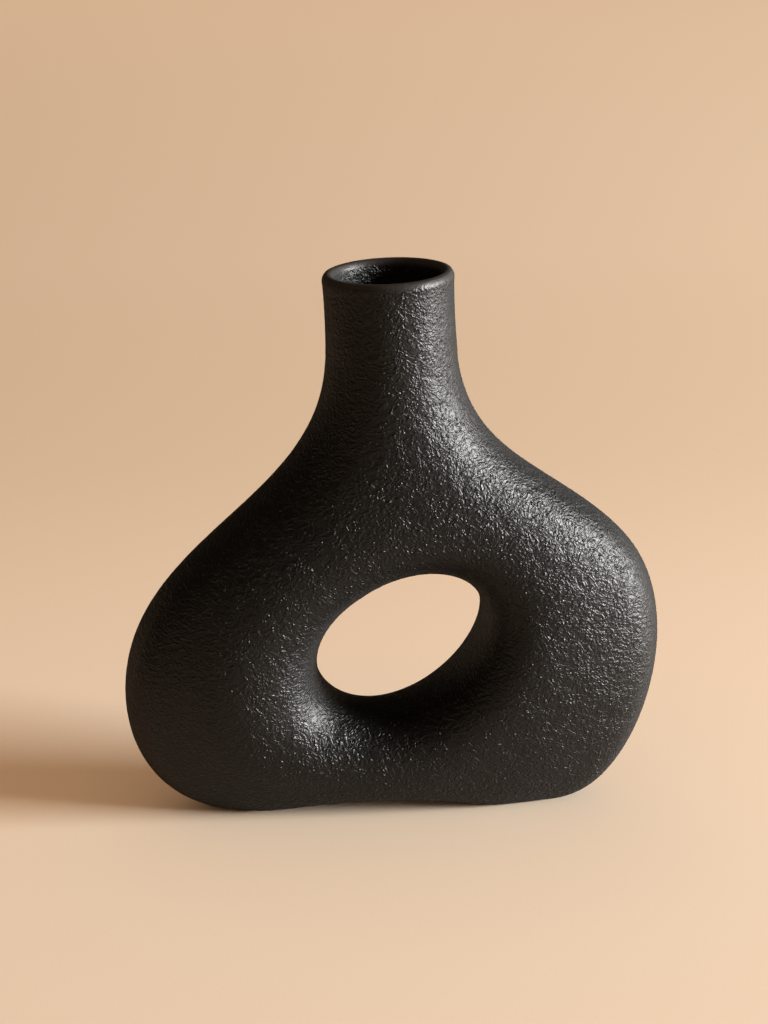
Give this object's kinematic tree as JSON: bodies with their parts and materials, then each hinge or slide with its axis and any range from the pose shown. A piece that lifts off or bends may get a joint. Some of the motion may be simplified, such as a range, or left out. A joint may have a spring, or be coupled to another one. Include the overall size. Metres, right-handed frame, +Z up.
{
  "type": "donut vase",
  "caption": "Free-standing hollow stoneware vase: flattened lobed body with a slanted oval hole through it, short leaning round neck and rounded lip, to hold stems.",
  "frame": {"origin": "on the surface the vase stands on, under the middle of its overall width and depth", "axes": "+X to the right of the front view, +Y to the rear, +Z up"},
  "size_m": [0.1946, 0.056, 0.2009],
  "materials": {
    "wrinkled_glaze": "satin black glaze with a fine all-over wrinkle",
    "lip_glaze": "smooth thin satin glaze",
    "slip": "dark luting slip, glazed over where it shows"
  },
  "bodies": {
    "root": {"front_shell": "wrinkled_glaze", "rear_shell": "wrinkled_glaze", "outer_seam_slip": "slip", "hole_seam_slip": "slip", "neck": "wrinkled_glaze", "neck_slip": "slip", "lip": "lip_glaze"}
  },
  "joints": []
}
